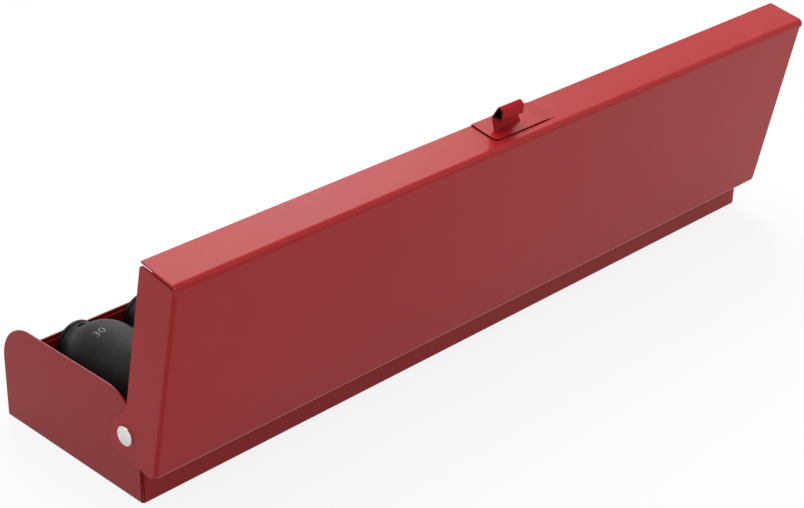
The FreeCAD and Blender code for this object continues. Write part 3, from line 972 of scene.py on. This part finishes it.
# profile: clinch as a quarter ellipse, shank, head's edge with a round shoulder, and the
# crown a = seat + edge + (rise - edge) (1 - c c), c from 1 at the shoulder to 0 at the axis
def makeRivet(look, sideName, way):
    seat, inside = look["seat"], look["wallInside"]
    flat = look["head"] - look["shoulder"]
    t = np.linspace(0, math.pi / 2, 7)
    tail = np.stack([inside - look["clinchRise"] * np.sin(t[::-1]),
                     look["clinch"] * np.cos(t[::-1])], axis=-1)
    shoulder = np.stack([seat + look["edge"] + look["shoulder"] * (np.sin(t) - 1),
                         flat + look["shoulder"] * np.cos(t)], axis=-1)
    c = np.linspace(1, 0, 8)[1:]
    crown = np.stack([seat + look["edge"] + (look["rise"] - look["edge"]) * (1 - c ** 2),
                      flat * c], axis=-1)
    shank = [(inside, look["shank"]), (seat, look["shank"]), (seat, look["head"])]
    verts, quads = turned(np.concatenate([tail, shank, shoulder, crown]), look["segments"],
                          way)
    piece = newPiece("hingeRivet" + sideName, verts, quads, "tray_body", zincPlate,
                     smoothAngle=35)
    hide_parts("hinge_rivet_" + sideName.lower())


# profile: a sheet's thickness by the ring's width, with its four corners cut
def makeWasher(look, sideName, way):
    a, b = rivet["wallInside"], rivet["wallInside"] + case["sheet"]
    inner, outer, cut = rivet["shank"] + look["play"], look["outer"], look["cut"]
    profile = [(a, inner + cut), (a, outer - cut), (a + cut, outer), (b - cut, outer),
               (b, outer - cut), (b, inner + cut), (b - cut, inner), (a + cut, inner),
               (a, inner + cut)]
    verts, quads = turned(profile, look["segments"], way)
    piece = newPiece("hingeWasher" + sideName, verts, quads, "tray_body", zincPlate,
                     smoothAngle=35)
    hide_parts("hinge_washer_" + sideName.lower())


seamTab = {
    "outside": 0.25095,
    "inside": 0.25045,
    "across": (-0.0575, -0.0554),
    "along": (0.0446, 0.0618),
    "hollow": 0.00022,
    "endRound": 0.0008,
    "rows": 24,
    "columns": 9,
}


# strip that joins the lid's front flange to its end: over z and y, hollowed outside as
# x = outside - hollow sin(pi v), its free end rounded as z = low + round (1 - sin(pi v))
def makeSeamTab(look, sideName, way):
    u = np.linspace(0, 1, look["rows"])[:, None]
    v = np.linspace(0, 1, look["columns"])[None, :]
    arch = np.sin(math.pi * v)
    y = look["across"][0] + v * (look["across"][1] - look["across"][0]) + 0 * u
    low = look["along"][0] + look["endRound"] * (1 - arch)
    z = low + u * (look["along"][1] - low)

    def side(x):
        return openLid(np.stack([way * x + 0 * y, y, z], axis=-1))

    outer, inner = side(look["outside"] - look["hollow"] * arch), side(look["inside"])
    verts, quads = shell(outer, inner) if way > 0 else shell(inner, outer)
    newPiece("seamTab" + sideName, verts, quads, "lid_body", redPaint,
             smoothAngle=40)


for sideName, way in (("Right", 1), ("Left", -1)):
    makeRivet(rivet, sideName, way)
    makeWasher(washer, sideName, way)
    makeSeamTab(seamTab, sideName, way)
print("rivets ready")

socket = {
    "count": 10,
    "largest": 30,
    "pitch": 0.0454,
    "axis": 0.0282,
    "driveFace": -0.0560,
    "wall": 0.0047,
    "neck": 0.0131,
    "neckEnd": 0.0068,
    "neckRound": 0.008,
    "flareEnd": 0.0205,
    "flareRound": 0.026,
    "length": 0.078,
}


# radius of a socket's outside at a distance from its drive face: neck, then body =
# across / sqrt(3) + wall, with a rounded flare between them
def outsideRadius(size, along, look=socket):
    body = size / 1000 / math.sqrt(3) + look["wall"]
    path = roundedPath([(0, look["neck"]), (look["neckEnd"], look["neck"]),
                        (look["flareEnd"], body), (look["length"], body)],
                       [0, look["neckRound"], look["flareRound"], 0], steps=16)
    return np.interp(along, path[:, 0], path[:, 1])


# points on a socket: x + radius cos(angle), axis + radius sin(angle), along from its face
def onSocket(x, radius, angle, along, look=socket):
    return np.stack([x + radius * np.cos(angle), look["driveFace"] + along,
                     look["axis"] + radius * np.sin(angle)], axis=-1)


sizeMark = {
    "height": 0.0052,
    "fontShare": 1.4,  # font size for a numeral of height 1
    "from": 0.0331,
    "turn": 16.0,  # degrees from the top
    "proud": 0.00003,
    "deep": 0.0001,
    "double": 1e-6,
    "longest": 0.0009,
    "splits": 5,
}


# size numeral wrapped on the body: angle = 90 - turn + across / radius, along = from - up,
# its triangles split until none is longer than longest, and given a depth inwards
def makeMark(size, x, look=sizeMark):
    curve = bpy.data.curves.new("mark", "FONT")
    curve.body = str(size)
    curve.size = look["height"] * look["fontShare"]
    curve.align_x = "CENTER"
    curve.resolution_u = 4
    holder = bpy.data.objects.new("mark", curve)
    scene.collection.objects.link(holder)
    view = bpy.context.evaluated_depsgraph_get()
    flat = bpy.data.meshes.new_from_object(holder.evaluated_get(view))
    bpy.data.objects.remove(holder)
    bpy.data.curves.remove(curve)
    form = bmesh.new()
    form.from_mesh(flat)
    bpy.data.meshes.remove(flat)
    bmesh.ops.remove_doubles(form, verts=form.verts, dist=look["double"])
    bmesh.ops.beautify_fill(form, faces=form.faces,
                            edges=[e for e in form.edges if len(e.link_faces) == 2])
    bmesh.ops.triangulate(form, faces=form.faces)
    for _ in range(look["splits"]):
        long = [e for e in form.edges if e.calc_length() > look["longest"]]
        if not long:
            break
        bmesh.ops.subdivide_edges(form, edges=long, cuts=1)
        bmesh.ops.triangulate(form, faces=form.faces)
    mesh = bpy.data.meshes.new(f"sizeMark{size}")
    form.to_mesh(mesh)
    form.free()
    points = np.empty(len(mesh.vertices) * 3)
    mesh.vertices.foreach_get("co", points)
    across, up = points.reshape(-1, 3)[:, :2].T
    along = look["from"] - up
    radius = outsideRadius(size, along) + look["proud"]
    angle = math.radians(90 - look["turn"]) + across / radius
    mesh.vertices.foreach_set("co", onSocket(x, radius, angle, along).ravel())
    mesh.update()
    mark = finishPiece(f"sizeMark{size}", mesh, f"socket_{size}mm_body", etchedSteel)
    depth = mark.modifiers.new("depth", "SOLIDIFY")
    depth.thickness = look["deep"]
    depth.offset = -1.0


holeShadowRim = {
    "along": 0.0085,
    "inner": 0.0026,
    "outer": 0.0037,
    "proud": 0.00006,
    "sunk": 0.00010,
    "segments": 40,
}


# painted shade: a near-black matt ring that widens the cross hole's dark spot
# saddle round the cross hole: ring points (rho cos t, rho sin t) laid on the neck with
# angle = 90 - across / radius, lifted a hair on top, and closed underneath
def makeHoleRim(size, x, look=holeShadowRim):
    t = -np.linspace(0, 2 * math.pi, look["segments"], endpoint=False)[None, :]
    top = np.linspace(0, 1, 5)
    share = np.concatenate([top, [1, 0.5, 0, 0]])[:, None]
    lift = np.concatenate([look["proud"] * (1 - top), np.full(4, -look["sunk"])])[:, None]
    lift[-1] = lift[0]
    rho = look["inner"] + (look["outer"] - look["inner"]) * share
    along = look["along"] + rho * np.sin(t)
    radius = outsideRadius(size, along) + lift
    ring = onSocket(x, radius, math.pi / 2 - rho * np.cos(t) / radius, along)
    newPiece(f"holeRim{size}", ring.reshape(-1, 3),
             gridFaces(len(share), look["segments"], around=True), f"socket_{size}mm_body",
             blackShade, smoothAngle=60)


for i in range(socket["count"]):
    size = socket["largest"] - i
    item = nodes[f"socket_{size}mm"]
    item.data.materials.clear()
    item.data.materials.append(blackPhosphate)
    x = socket["pitch"] * ((socket["count"] - 1) / 2 - i)
    makeMark(size, x)
    makeHoleRim(size, x)
print("sockets ready")

scene.view_settings.view_transform = "Standard"
